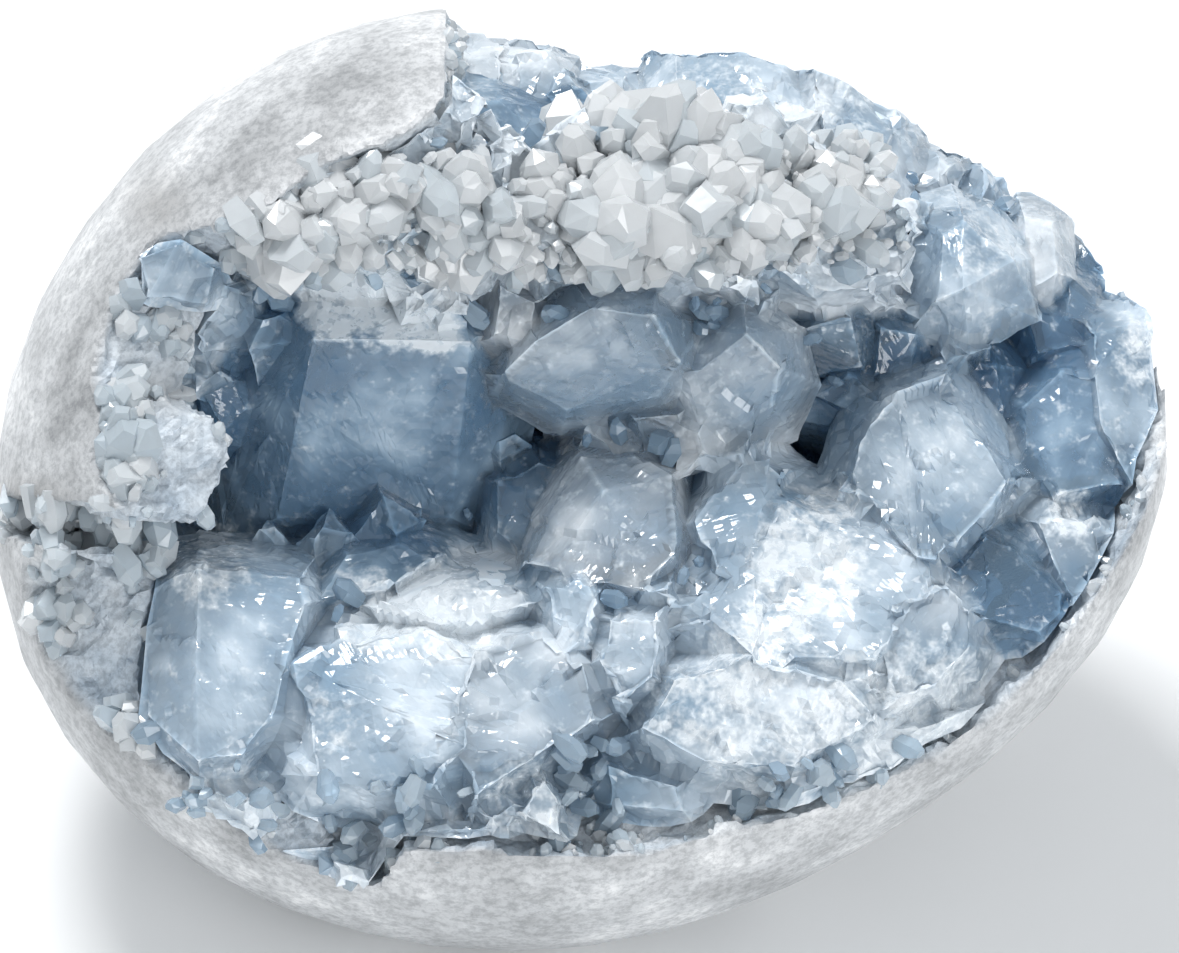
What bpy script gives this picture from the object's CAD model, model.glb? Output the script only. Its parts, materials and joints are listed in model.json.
"""Celestite geode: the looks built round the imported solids.

The crystals are laid out in a face frame in millimetres: u to the right, v up the tilted face of
the geode, w out of it. FACE turns that frame into the world, in metres.
"""

import json
import math
import random

import bmesh
import bpy
import numpy as np
from mathutils import Matrix, Vector, noise
from mathutils.bvhtree import BVHTree

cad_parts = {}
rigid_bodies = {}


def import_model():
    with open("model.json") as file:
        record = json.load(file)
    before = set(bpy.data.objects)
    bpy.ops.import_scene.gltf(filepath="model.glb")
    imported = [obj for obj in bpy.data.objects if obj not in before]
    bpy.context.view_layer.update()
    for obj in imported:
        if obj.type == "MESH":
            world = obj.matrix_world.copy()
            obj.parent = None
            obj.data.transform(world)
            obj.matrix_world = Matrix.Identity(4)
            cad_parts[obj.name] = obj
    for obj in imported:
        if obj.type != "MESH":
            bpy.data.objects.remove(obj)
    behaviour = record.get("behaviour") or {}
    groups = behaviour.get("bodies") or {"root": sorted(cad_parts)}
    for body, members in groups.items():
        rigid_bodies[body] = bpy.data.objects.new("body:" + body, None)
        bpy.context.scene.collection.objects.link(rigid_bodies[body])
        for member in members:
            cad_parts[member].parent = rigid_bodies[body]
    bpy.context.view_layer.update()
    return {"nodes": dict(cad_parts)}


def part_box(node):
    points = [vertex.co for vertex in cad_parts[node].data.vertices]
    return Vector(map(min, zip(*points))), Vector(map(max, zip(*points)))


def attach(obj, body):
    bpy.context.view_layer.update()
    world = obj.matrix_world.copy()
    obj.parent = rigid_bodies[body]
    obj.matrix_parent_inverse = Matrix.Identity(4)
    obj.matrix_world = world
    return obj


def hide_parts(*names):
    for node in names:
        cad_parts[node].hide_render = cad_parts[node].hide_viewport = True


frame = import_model()

MM = 0.001
FACE_TILT = math.radians(45.0)

# the rounded body, as in the solids: mean radius, waves of its outline, half depth, ground flat
MEAN_RADIUS = 52.3
OUTLINE_WAVES = ((2.4, 175.0), (6.2, 6.0), (1.6, 8.0), (0.9, 16.0))
HALF_DEPTH = 42.0
BASE_CUT = 4.0

# how far crystals are pushed into their neighbours, as in the solids
GIRDLE_SPREAD = 1.7
FRONT_SPREAD = 0.35
FAR_DEPTH = -9.0
FAR_SHARE = 0.3

# mm that a crystal's sides run back from its widest ring
ROOT_REACH = 7.0

SEED = 5
JOIN_GAP = 0.0005      # mm, corners nearer than this are joined
SLIVER = 0.002         # mm, faces narrower than this are closed up
SKIN_GRAIN = 1.15      # mm, longest edge of the crystal skin's mesh
HALVINGS = 6           # rounds of halving those edges, at most
ROCK_GRAIN = 0.75      # mm, faces of the wall
GUIDE_GRAIN = 1.1      # mm, faces of the surface that the small crystals grow on
HIDDEN_GAP = 0.8       # mm, crust this near the wall is out of sight and stays as it is
CORE_SHARE = 0.74      # size of a crystal's milky core against the crystal
CORE_COVER = 1.0       # mm of clear crystal over a core at least
CORE_ROOM = 1.5        # mm of crust round a crystal's middle, below which it has no core
CORE_CHIPS = 5         # corners broken off each core
CHIP_DEPTH = 2.0       # mm taken off a corner at most
CHIP_GAP = 0.02        # mm, corners nearer than this after a break are joined
CELL_SPREAD = 61.7     # parts the grains' keys, so that each has its own slope
CELESTITE_IOR = 1.62

# mm across the flats of broken faces, then span and height of the crystals' growth steps and how
# far their skin is sunk under the solids' faces
BIG_FLAT = 7.5
SMALL_FLAT = 3.4
FINE_FLAT = 1.6
STEP_SPAN = 7.0
STEP_HEIGHT = 0.28
SKIN_SINK = 0.05

# how near the outer skin the ground stone begins and is whole, as a share of the body's radius
GROUND_SKIN = (0.972, 0.992)

# small crystals: how many shapes, then least distance and height range of each growth, in mm
DRUSE_KINDS = 7
RIDGE_GROWTH = (1.3, (1.6, 4.6))
RIM_GROWTH = (0.95, (1.0, 3.0))

# mm over the ground: the flat underside, where the druse starts, where the rim's grains fade in
FLAT_TOP = 0.4
DRUSE_FLOOR = 9.0
RIM_FLOOR = (8.0, 11.0)

# the white ridge and the dark recess in it: from where to where each side fades in, in mm
RIDGE_LEFT = (-38.0, -31.0)
RIDGE_RIGHT = (31.0, 27.0)
RIDGE_FOOT = 20.0
RIDGE_TOP = 34.5
RIDGE_BACK = (5.0, 8.0)
RECESS_LEFT = (-16.0, -14.0)
RECESS_RIGHT = (-1.0, -4.0)
RECESS_FOOT = (29.5, 31.0)

# the broken wall at the left, across and up the face, where the rim's grains are largest
LEFT_WALL = (-30.0, -36.0)
LEFT_WALL_FOOT = (-30.0, -24.0)

# what each kind of crystal is like: clearness, frost on its faces, depth of blue
KINDS = {
    "clear": (0.62, 0.05, 0.30),
    "pale": (0.48, 0.02, 0.42),
    "blue": (0.5, 0.02, 0.55),
    "deep": (0.55, 0.0, 0.75),
    "dark": (0.7, 0.0, 0.85),
    "grey": (0.45, 0.05, 0.35),
    "white": (0.35, 0.3, 0.2),
}

# how deeply the faces of each kind are broken into flats, in mm
BROKEN = {"clear": 0.9, "pale": 2.3, "blue": 1.1, "deep": 0.5, "dark": 0.9, "grey": 1.7, "white": 2.3}

# frosted, glittering patches on crystal faces: u, v, radius in mm, strength
FROST_PATCHES = (
    (21.5, -8.0, 5.5, 1.0), (19.0, -13.0, 4.0, 1.0), (22.5, -3.5, 3.5, 0.9), (15.0, -18.5, 4.5, 1.0),
    (10.0, -22.5, 4.0, 0.9), (27.0, -25.0, 7.0, 0.8), (34.0, -22.0, 6.0, 0.7), (18.0, -29.0, 6.0, 0.7),
    (-25.0, 17.5, 4.0, 1.3), (-20.0, 16.5, 3.5, 1.3), (-15.5, 14.5, 2.5, 1.2), (-38.0, -8.5, 4.0, 0.8),
    (-14.0, -12.5, 5.0, 0.9), (-22.0, -13.0, 3.5, 0.7), (-6.0, -32.0, 4.0, 0.8), (-36.0, -33.5, 5.0, 0.6),
    (55.5, 12.5, 3.0, 0.8), (47.5, -4.0, 2.5, 0.8), (38.5, 23.0, 3.0, 0.4), (-26.0, -24.0, 3.0, 0.6),
    (12.0, 38.0, 5.0, 0.5), (26.0, 36.0, 5.0, 0.5),
)
PATCH_EDGE = 1.4       # radii at which a patch has faded out

# brown stains on the stone: u, v, radius in mm, strength, how much shorter up the face
STAINS = ((-43.0, 27.0, 5.0, 0.6, 1.0), (-56.0, -3.0, 6.0, 1.0, 1.6), (-42.0, 8.5, 4.0, 0.8, 1.0))

# each crystal: name, kind, then its widest ring, its front ring and how deep it roots, in mm
CRYSTALS = (
    # far side, small and low
    ("far_1", "grey",
     ((-14.6, 44.2, -16), (-11, 44.6, -17), (-7.5, 44.4, -17), (-7, 36, -8), (-14, 36, -8)),
     ((-12.5, 42.6, -11), (-9, 42.8, -11), (-8.5, 38.5, -7), (-13, 38, -7)), -26),
    ("far_2", "grey",
     ((-9.5, 44.6, -18), (-3.4, 44.5, -18), (-0.8, 42.6, -17), (-0.5, 36, -9), (-8, 34, -7)),
     ((-7.5, 42.6, -12), (-4, 43.2, -12), (-2.2, 40.5, -10), (-6.5, 37, -7)), -26),
    ("far_3", "grey",
     ((-3, 42, -17), (0.6, 41.6, -17), (4.6, 41.4, -17), (6.5, 37, -12), (5.5, 31.5, -6),
      (-1.5, 31.5, -6)),
     ((0, 40, -12), (3.4, 40.2, -12), (4, 35, -7), (0, 34.5, -6)), -26),
    ("recess", "dark",
     ((-14, 39.8, -8), (-9, 38.9, -8), (-4.5, 36.5, -7), (-2.8, 32.6, -3), (-4.5, 29, -1),
      (-10, 29, 0), (-13.6, 33, -2)),
     ((-12.6, 37.6, -1), (-9, 37.4, -2), (-6, 35, -2), (-6, 31.5, 0), (-11, 32, 2)), -22),
    ("far_block", "grey",
     ((4.6, 39.5, -15), (5.6, 43.4, -17), (8, 45.6, -19), (15, 46.1, -19), (20.5, 45, -19),
      (23, 40, -14), (21.5, 30.5, -4), (12, 30.5, -3), (4.6, 32, -5)),
     ((8.5, 43, -12), (15.5, 43.6, -12), (19.5, 41, -10), (18.5, 34, -2), (9, 34.5, -3)), -28),
    ("far_shoulder", "grey",
     ((18.5, 44.6, -19), (26, 43.2, -18), (27.2, 41, -17), (32.4, 38.6, -17), (34.6, 34.6, -14),
      (32, 27, -5), (22, 27, -3)),
     ((22.5, 41.4, -10), (26.5, 40, -10), (31, 35.6, -9), (28.5, 30, -3), (22.5, 31.5, -2)), -26),
    ("rim_point_1", "grey",
     ((33.4, 34.6, -16), (36, 35, -17), (38.6, 32.6, -15), (37, 28, -9), (33, 29, -9)),
     ((35, 33, -11), (36.6, 31.6, -10), (35, 30, -8)), -24),
    ("rim_point_2", "grey",
     ((37.6, 32, -17), (40, 33.6, -18), (42.4, 31, -17), (42, 27, -11), (38, 27, -10)),
     ((39.6, 31.6, -12), (41, 29.6, -11), (39.4, 28.6, -9)), -24),
    ("bright_wedge", "blue",
     ((30.5, 21.5, -4), (33, 27, -7), (36.5, 28.4, -8), (40, 26.5, -8), (43.6, 22, -5),
      (44, 16.5, 0), (38, 13.5, 3), (32, 15, 3)),
     ((35.2, 24, 3.5), (37.4, 25.6, 2.5), (42.2, 21.6, 2.5), (37.2, 19, 8), (34.4, 17.6, 7)), -16),
    ("rim_clear", "clear",
     ((41.6, 26, -12), (43, 28.6, -13), (46.4, 28.4, -14), (48.8, 26, -13), (49, 20, -8),
      (46, 15.5, -4), (41.6, 18, -4)),
     ((43.6, 26, -6), (46.6, 25.6, -7), (47, 20.5, -3), (44, 18.6, -1)), -20),
    ("rim_dark", "dark",
     ((46, 20.5, -11), (49.6, 22, -13), (52.4, 19.6, -13), (54.5, 17, -11), (52, 13, -6),
      (46, 14, -4)),
     ((48.6, 20, -7), (51, 18, -7), (50.5, 15.6, -4), (47.8, 16.4, -3)), -18),
    # under the hood and the ridge
    ("big_left", "deep",
     ((-33.5, 21, 2), (-26, 24, 4), (-16, 22, 5), (-9, 16, 6), (-7, 6, 3), (-9, -6, -3),
      (-24, -10, -4), (-37, -7, -2), (-38, 8, 0)),
     ((-28.2, 18.6, 10), (-25.4, 20.2, 9.5), (-16.8, 15.6, 13), (-12, 13.2, 14.5),
      (-27.2, 13.4, 16), (-33.5, 8, 8), (-31, -4, 5), (-14, -4, 4), (-10, 9, 9)), -16),
    ("striated_small", "clear",
     ((-11, 13, 8), (-10.4, 19.5, 10), (-7, 20.5, 10), (-4, 17.5, 9), (-4.6, 12, 8),
      (-8.5, 10.6, 7)),
     ((-9.6, 14, 15), (-8.9, 18.6, 17), (-5.6, 17, 17), (-6.4, 13.6, 15.5)), -2),
    ("hanging_left", "clear",
     ((-10, 10.4, 9), (-6, 16, 11), (-2, 19.5, 11), (6, 19.5, 11), (10.5, 15, 11), (10.4, 10, 9),
      (7.6, 6.6, 8), (-2.4, 5, 7), (-8.8, 7.8, 8)),
     ((-8.6, 10, 14.5), (-5, 13.4, 18.5), (0, 16.4, 20.5), (6, 15.8, 20), (8.8, 11.2, 18),
      (6.6, 7.8, 14), (-2.2, 6.6, 13.5)), -6),
    ("hanging_right", "clear",
     ((7, 8, 7), (9, 14, 9), (15, 17.5, 10), (20.5, 14, 9), (21.6, 9, 7), (19.5, 4.6, 5),
      (13, 0.9, 4), (9.6, 4, 5)),
     ((9.6, 9.6, 14.5), (15.4, 13.8, 18.5), (18.6, 10.6, 17), (18.2, 6.6, 13.5), (13, 2.6, 11),
      (11, 5.4, 12.5)), -8),
    ("chip_1", "clear",
     ((-4, 7, 3), (2, 7.5, 4), (3.5, 3.4, 2), (0, 2.9, 1), (-3.6, 4.4, 1)),
     ((-1.6, 5.4, 10), (1.6, 5.8, 11), (1.6, 4, 9)), -10),
    ("chip_2", "clear",
     ((2, 7.5, 4), (9.6, 8, 5), (11.5, 2.6, 3), (6.4, 1.2, 2), (3, 2.6, 2)),
     ((4.4, 5.6, 12), (8.6, 6, 12.5), (9, 3.2, 10.5), (5.6, 2.8, 10)), -10),
    ("dark_right_1", "dark",
     ((20, 16, 2), (26, 18.5, 2), (30, 15, 0), (28.5, 9.5, -1), (21, 8, -1)),
     ((22, 14.6, 9), (26, 15.6, 9), (27, 11, 7), (22, 10, 6)), -12),
    ("dark_right_2", "dark",
     ((27, 17, 0), (33, 17, -1), (35, 12, -2), (30, 6.5, -3), (26, 8, -2)),
     ((29, 14.6, 6), (32.4, 14, 5.5), (31.6, 9.6, 5), (28.4, 9.4, 5.5)), -12),
    ("dark_right_3", "dark",
     ((18.5, 9, 0), (25, 10, 0), (28, 6, -2), (25, 2.4, -3), (20, 4.5, -2)),
     ((20.4, 8.2, 6), (24.4, 8, 6), (24.6, 4.8, 4), (21.4, 5.6, 4)), -12),
    ("dark_floor", "dark",
     ((34, 12, -3), (40, 14, -4), (44, 10, -5), (44, 3, -6), (37, 2, -5), (33, 6, -4)),
     ((36.6, 10.6, 3), (40.6, 11, 2.5), (41.4, 6, 2), (37, 5, 3)), -14),
    # middle
    ("centre_clear", "clear",
     ((-8.6, -9.8, 6), (-3.6, 1, 3), (-1.4, 3.2, 2), (5, 3.3, 2), (9.4, 0.8, 4), (10.4, -5, 7),
      (9.4, -12, 10), (1, -13, 10)),
     ((-6.4, -8.6, 17), (-0.8, 1.9, 12), (4.4, 2, 12), (7.9, 0, 14.5), (8.4, -7.4, 20.5),
      (4.8, -11, 22), (1.4, -1.5, 17.5), (-3.6, -9, 19.5)), -10),
    ("centre_dark", "dark",
     ((-11, -8, 1), (-10.8, -0.4, -1), (-6, 3, -1), (-0.6, 2.6, 0), (-3, -8, 4)),
     ((-9.4, -5.4, 9), (-9, -0.6, 7.5), (-5.2, 1.4, 7.5), (-3, 0.4, 8.5), (-6, -7.4, 11)), -14),
    ("centre_pale_1", "pale",
     ((-6.4, -9.6, 12), (-1, -8.2, 12), (2.4, -10, 13), (2, -14, 14), (0.4, -18.5, 14),
      (-4, -18.5, 14), (-6.6, -14, 13)),
     ((-4.6, -10.8, 21), (-1, -9.8, 21.5), (0.6, -12, 23.5), (-0.4, -16.4, 24), (-3, -16.6, 23)), 0),
    ("centre_pale_2", "pale",
     ((0, -13, 13), (4, -12, 13), (8.6, -12.4, 13), (8.6, -20, 14), (3, -25.4, 15), (-1, -18, 14)),
     ((1.8, -13.8, 23), (7, -13.8, 23), (6.4, -19.6, 25.5), (2.8, -22.8, 25.5), (0.8, -18, 24.5)), 0),
    ("chip_3", "pale",
     ((4, -10.4, 14), (8.6, -9.2, 13), (10, -13.6, 14), (5, -14, 14)),
     ((5.2, -11.2, 22.5), (7.9, -10.3, 22), (8.4, -12.7, 22.5)), 4),
    ("pale_slab", "pale",
     ((9, -5, 7), (12.6, 2, 5), (18, 3.2, 4), (21.4, 0.4, 4), (19, -5, 7), (17, -13, 11),
      (11, -11, 10)),
     ((10.6, -4.4, 17), (14.2, 0.8, 13), (17.8, 1.8, 12.5), (19.6, 0, 13), (16.8, -3.4, 17),
      (15.8, -11, 21.5), (12, -9, 20.5)), -6),
    # right
    ("square", "pale",
     ((23.6, 0, 5), (26, 6.4, 4), (29, 9.6, 3), (35.4, 11.4, 1), (37, 10.6, 1), (44.4, -0.6, 3),
      (39.5, -6, 6), (35, -10, 8), (31, -9.4, 8)),
     ((25.6, 0.2, 14), (27.6, 5.4, 13.5), (30.6, 8.2, 12.5), (35.2, 9.8, 10.5), (41.8, -0.2, 12),
      (38.4, -4.4, 15.5), (34.8, -8, 18.5), (32.2, -7.8, 18.8)), -8),
    ("dark_lower", "dark",
     ((34, -9, 6), (39, -4, 4), (43, -5, 3), (49, -11, 4), (49, -14, 6), (45.6, -17.6, 9),
      (38, -16.6, 11)),
     ((36.6, -9.4, 14.5), (39.4, -6, 12.5), (42, -7, 11.5), (46.6, -11.6, 11.5),
      (46.4, -13.4, 12.5), (44.4, -15.2, 14), (39.6, -14, 16.5)), -4),
    ("striped_right", "pale",
     ((41.6, -4.4, 2), (45, -1.6, 0), (50.6, -2.6, -1), (54.6, -5.6, -1), (53.6, -12, 4),
      (49, -15.4, 7), (45.6, -11, 5)),
     ((44.4, -4.6, 9), (46.2, -3.4, 8), (50, -4.2, 8), (52.4, -6.4, 7.5), (51.2, -10.8, 10.5),
      (48.2, -13, 12), (46.6, -9.6, 11.5)), -8),
    ("right_block", "blue",
     ((49.4, 16, -8), (54, 17.4, -9), (58.2, 16.2, -10), (59.6, 12, -9), (59.4, -1.4, -4),
      (55.4, -5.2, -2), (49, 3, -3), (47.6, 9, -5)),
     ((50.4, 14.4, -1), (54.4, 15.4, -3), (57.4, 13.8, -4), (57.9, 1, 2), (55.2, -2.6, 5),
      (51.2, 4.8, 4.5), (50.6, 10, 2.5)), -14),
    ("right_low", "dark",
     ((41, 8.4, -4), (46, 12.4, -5), (51.6, 13.6, -6), (52.4, 4, -4), (56, -1.6, -3),
      (51.6, -3.6, -1), (43.4, -3.4, 0), (40, 2, -2)),
     ((43.4, 7.2, 3), (47, 10.2, 2), (50, 9.6, 1.5), (49.8, 4.4, 3.5), (52.6, -0.6, 4.5),
      (46.6, -1.8, 6.5), (43.6, 1.4, 5)), -12),
    # lower right
    ("mass_upper", "pale",
     ((8.4, -4.6, 8), (19.6, -0.4, 6), (25, -1, 6), (33.6, -8, 8), (38.6, -10.6, 8),
      (30, -20, 14), (16, -21, 15), (7, -19, 15)),
     ((16.6, -9.4, 20.5), (19.6, -2, 16), (24.6, -3.6, 16), (34, -9.4, 18.5), (28, -18, 24.5),
      (17, -17.6, 25), (11.6, -13, 22.5)), -4),
    ("mass_right", "pale",
     ((27, -12, 8), (36, -8, 6), (40.6, -11.6, 6), (40.8, -17.6, 8), (36.6, -23.4, 12),
      (29.6, -27, 14), (23, -22, 14)),
     ((29.6, -13, 21.5), (35, -10.4, 19), (38.4, -13, 18), (38, -17, 19), (34.4, -20.8, 21),
      (29.6, -22.4, 23.5)), 0),
    ("mass_lower", "pale",
     ((6, -18, 14), (16, -15.6, 13), (26, -18, 14), (32.6, -23.6, 14), (26, -30.6, 16),
      (18, -32.4, 17), (9.6, -31.6, 17), (2, -26.6, 16)),
     ((8.4, -20, 25.5), (16, -17.6, 25.6), (24.6, -20, 25.6), (28.6, -24, 24.5),
      (19.6, -28.6, 25.6), (11.4, -28.4, 26), (5, -24.8, 26)), 2),
    ("foot_right", "white",
     ((16, -26, 14), (28, -25, 13), (37, -22, 11), (40.6, -22, 10), (37, -27, 12),
      (28.6, -31.6, 15), (18, -34, 17)),
     ((19, -27.6, 23.5), (28, -26.6, 22), (36, -23.6, 19), (30, -29.2, 21), (20, -31.8, 23)), 0),
    # lower left
    ("block_left", "blue",
     ((-45.6, -11, 5), (-43, -7.4, 3), (-38.6, -6.4, 2), (-27.4, -7.6, 3), (-25.6, -13, 8),
      (-28.6, -19, 12), (-29, -24, 14), (-33, -29.6, 15), (-38, -31.6, 15), (-45.6, -25, 11)),
     ((-43.6, -11.4, 15), (-38.8, -9.2, 18.5), (-28.6, -9.8, 16), (-28, -12.6, 19),
      (-30.2, -18, 22), (-31, -23.4, 23.5), (-34, -27.4, 23.5), (-38.8, -28, 23.8),
      (-43.8, -23.4, 19)), -8),
    ("dark_left", "dark",
     ((-28.6, -13, 6), (-25, -5.6, 2), (-18.6, -4.6, 2), (-12, -6.6, 3), (-14.6, -11.4, 8),
      (-24, -14.6, 9)),
     ((-26.4, -12, 15), (-24, -7.6, 11.5), (-19, -6.8, 11), (-15.4, -8, 12.5),
      (-19.4, -10.4, 15.5)), -10),
    ("white_top", "white",
     ((-23.6, -12.4, 9), (-19.4, -10, 7), (-14, -8, 6), (-6.4, -8, 6), (-4, -13.6, 10),
      (-9, -17, 13), (-20, -16.6, 13)),
     ((-21.4, -12.8, 19), (-18.6, -11.4, 17.5), (-13.8, -9.6, 16), (-7.4, -9.6, 16),
      (-6, -12.6, 20), (-14.6, -14.4, 22)), -4),
    ("mass_left", "pale",
     ((-31.4, -18, 12), (-25.4, -13.6, 10), (-16, -12.6, 10), (-9.6, -15, 12), (-10, -27, 17),
      (-13, -34.4, 18), (-21, -34, 18), (-28.6, -32.4, 17), (-34, -28.6, 15)),
     ((-29, -18.6, 22), (-24.6, -15.8, 20.5), (-16.6, -15, 21), (-12, -17.6, 24),
      (-12.4, -26.6, 27), (-15.4, -30.6, 27), (-21.4, -31, 26), (-27, -29.6, 25)), 0),
    ("mass_middle", "pale",
     ((-13, -15.6, 12), (-6, -13.6, 11), (0.6, -17, 13), (3, -24.6, 15), (-3.6, -29.6, 17),
      (-12, -34.6, 18), (-16, -25, 15)),
     ((-11.4, -17, 24), (-4.6, -15.4, 22.5), (-0.6, -18.4, 24), (1, -24, 26), (-4.4, -27, 27),
      (-11, -31.4, 27.5), (-14, -23.6, 26)), 0),
    ("pale_lump", "white",
     ((-42, -32.6, 14), (-37.6, -28.6, 13), (-32.6, -29.6, 13), (-30, -32, 14), (-33, -37, 16),
      (-36.4, -38.4, 16), (-40, -36.6, 15)),
     ((-40, -32.2, 21), (-37, -30.6, 22), (-33.4, -31.4, 22.5), (-33.4, -35, 24),
      (-36, -36.2, 23.5), (-38.6, -35, 22)), 6),
    ("bright_piece", "white",
     ((-9, -34.4, 16), (-6.6, -29.4, 15), (-4, -28, 15), (-1.4, -32, 16), (-1.4, -36.6, 17)),
     ((-6.8, -33.6, 26), (-5.6, -30.4, 26), (-4.2, -29.8, 26), (-2.9, -32.2, 25.6),
      (-3, -35.2, 25)), 6),
    ("foot_left", "white",
     ((-22, -33.6, 12), (-15, -33.4, 14), (-8, -33.4, 14), (-9, -36.6, 16), (-15, -38, 16),
      (-21, -38, 14)),
     ((-20, -35, 22), (-14, -34.6, 24), (-10, -34.6, 25), (-14.6, -36.6, 23)), 4),
    ("foot_middle", "blue",
     ((1, -26, 13), (9, -29, 14), (14, -31, 15), (10, -35, 17), (2, -34.6, 16), (-3, -31, 14)),
     ((2, -28.6, 22), (8, -30.4, 23), (9, -33, 22.5), (2, -32.6, 21.5)), 4),
    # the ridge body that carries the white crystals
    ("ridge_1", "white",
     ((-36, 24.6, 8), (-30, 29, 8), (-16, 34, 8), (-11, 30, 8), (-12, 20, 9), (-22, 17.6, 11),
      (-33, 18.6, 10)),
     ((-32, 24.4, 23), (-24, 28, 25), (-16.6, 31.6, 24), (-14.4, 25.6, 24), (-22, 20.6, 21.5),
      (-30, 20.6, 19.5)), -8),
    ("ridge_2", "white",
     ((-16.6, 34.4, 4), (-6, 32.6, 0), (4, 33.6, -1), (6, 24, 4), (3, 18, 7), (-8, 17.6, 8),
      (-16, 19, 8)),
     ((-14, 31, 22), (-6, 29.8, 20.5), (2, 30.4, 18.5), (2.6, 23.4, 22.5), (-8, 21.6, 23),
      (-14, 23, 24)), -12),
    ("ridge_3", "white",
     ((0, 33.4, -2), (10, 33, -3), (18, 34.6, -3), (21, 30, -1), (20, 18.6, 5), (8, 15.6, 7),
      (1, 18.6, 6)),
     ((3, 29.6, 18), (10, 29.4, 18), (16.4, 31.4, 16.5), (17.6, 23.6, 21), (10, 19.4, 21.5),
      (3, 22, 22)), -12),
    ("ridge_4", "white",
     ((16, 33, -3), (22, 32, -4), (28.6, 30.6, -5), (31.6, 24, -3), (30.6, 16.4, 1), (24, 15, 3),
      (17, 17.6, 4)),
     ((19, 29.6, 15.5), (26.4, 28.6, 13), (28.8, 23.6, 13.5), (28, 18.4, 13.5), (22, 18.4, 17),
      (18.4, 21, 20)), -12),
    # broken crystals on the left wall, between the hood and the big left crystal
    ("left_1", "blue",
     ((-47, 22.6, 15), (-40, 24.6, 15), (-34, 22, 10), (-35, 16, 6), (-42, 14.6, 10),
      (-47, 17, 14)),
     ((-44.6, 21.2, 24), (-40.4, 22.8, 25), (-36.6, 20.6, 21.5), (-38, 17, 19.5),
      (-43.4, 17.2, 22.5)), 0),
    ("left_2", "grey",
     ((-50, 15, 15), (-45, 17.4, 15), (-38.6, 15, 10), (-39, 9.4, 9), (-45, 7.6, 13),
      (-50, 10, 15)),
     ((-47.4, 13.8, 24.5), (-44.6, 15.2, 24), (-41, 12.8, 20.5), (-42.4, 9.8, 20.5),
      (-47, 10.2, 24)), 0),
    ("left_3", "blue",
     ((-42, 17.6, 6), (-36, 21.6, 7), (-30.6, 20, 5), (-31, 12, 3), (-36, 8, 4), (-41, 11, 7)),
     ((-38.8, 16.4, 18), (-36, 18.6, 18.5), (-33, 17.6, 15.5), (-33.8, 12.4, 13.5),
      (-38.4, 11.8, 16.5)), -6),
    ("left_4", "dark",
     ((-40.6, 10, 2), (-35, 11.6, 1), (-31.6, 8, 0), (-33, 2, -1), (-38, 1, 0)),
     ((-38.4, 8.6, 10.5), (-35.6, 9.6, 9.5), (-34, 6.6, 8), (-36.4, 4.4, 9)), -8),
    # under the rim at the right, and low between the rim and the square crystal
    ("right_gap_1", "dark",
     ((42, 18.6, -7), (48, 18.6, -9), (53, 15, -9), (50, 10, -7), (43, 10.4, -6)),
     ((44, 16.6, -1.5), (48, 16, -3), (49.4, 13.4, -2.5), (45, 12.4, -0.5)), -16),
)


def outline_radius(angle):
    """Radius of the body in the face plane, in mm."""
    radius = MEAN_RADIUS
    for count, (size, turn) in enumerate(OUTLINE_WAVES, start=1):
        radius += size * math.cos(count * (angle - math.radians(turn)))
    return radius


def skin_share(point):
    """1 on the outer skin of the body and less inside it, for a point of the face frame."""
    radius = outline_radius(math.atan2(point.y, point.x))
    return math.sqrt((point.x ** 2 + point.y ** 2) / radius ** 2 + (point.z / HALF_DEPTH) ** 2)


def face_matrix():
    """Face frame in mm to world in metres, found from the shell's own box."""
    turn = Matrix((
        (1.0, 0.0, 0.0),
        (0.0, math.sin(FACE_TILT), -math.cos(FACE_TILT)),
        (0.0, math.cos(FACE_TILT), math.sin(FACE_TILT)),
    ))
    build = bmesh.new()
    bmesh.ops.create_icosphere(build, subdivisions=4, radius=1.0)
    turned = []
    for corner in build.verts:
        way = corner.co.normalized()
        radius = outline_radius(math.atan2(way.y, way.x))
        turned.append(turn @ Vector((radius * way.x, radius * way.y, HALF_DEPTH * way.z)))
    build.free()
    low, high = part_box("geode_shell")
    origin = Vector((
        low[0] - MM * min(point.x for point in turned),
        high[1] - MM * max(point.y for point in turned),
        -MM * (min(point.z for point in turned) + BASE_CUT),
    ))
    return Matrix.Translation(origin) @ Matrix.Scale(MM, 4) @ turn.to_4x4()


FACE = face_matrix()
TO_FACE = FACE.inverted()


def object_from(name, build):
    """Object in the scene from a mesh under construction, which is freed."""
    mesh = bpy.data.meshes.new(name)
    build.to_mesh(mesh)
    build.free()
    made = bpy.data.objects.new(name, mesh)
    bpy.context.scene.collection.objects.link(made)
    return made


def merged_copy(node_name, name):
    """Copy of a CAD node with its loose triangles joined, in the world frame."""
    build = bmesh.new()
    build.from_mesh(frame["nodes"][node_name].data)
    bmesh.ops.remove_doubles(build, verts=build.verts, dist=JOIN_GAP * MM)
    return object_from(name, build)


def finished(made):
    """Apply every modifier of an object, as a plain mesh."""
    graph = bpy.context.evaluated_depsgraph_get()
    graph.update()
    mesh = bpy.data.meshes.new_from_object(made.evaluated_get(graph), depsgraph=graph)
    made.modifiers.clear()
    made.data = mesh
    return made


def remeshed(made, size):
    """Even skin of small faces, size in mm."""
    modifier = made.modifiers.new("even skin", "REMESH")
    modifier.mode = "VOXEL"
    modifier.voxel_size = size * MM
    return finished(made)


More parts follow.
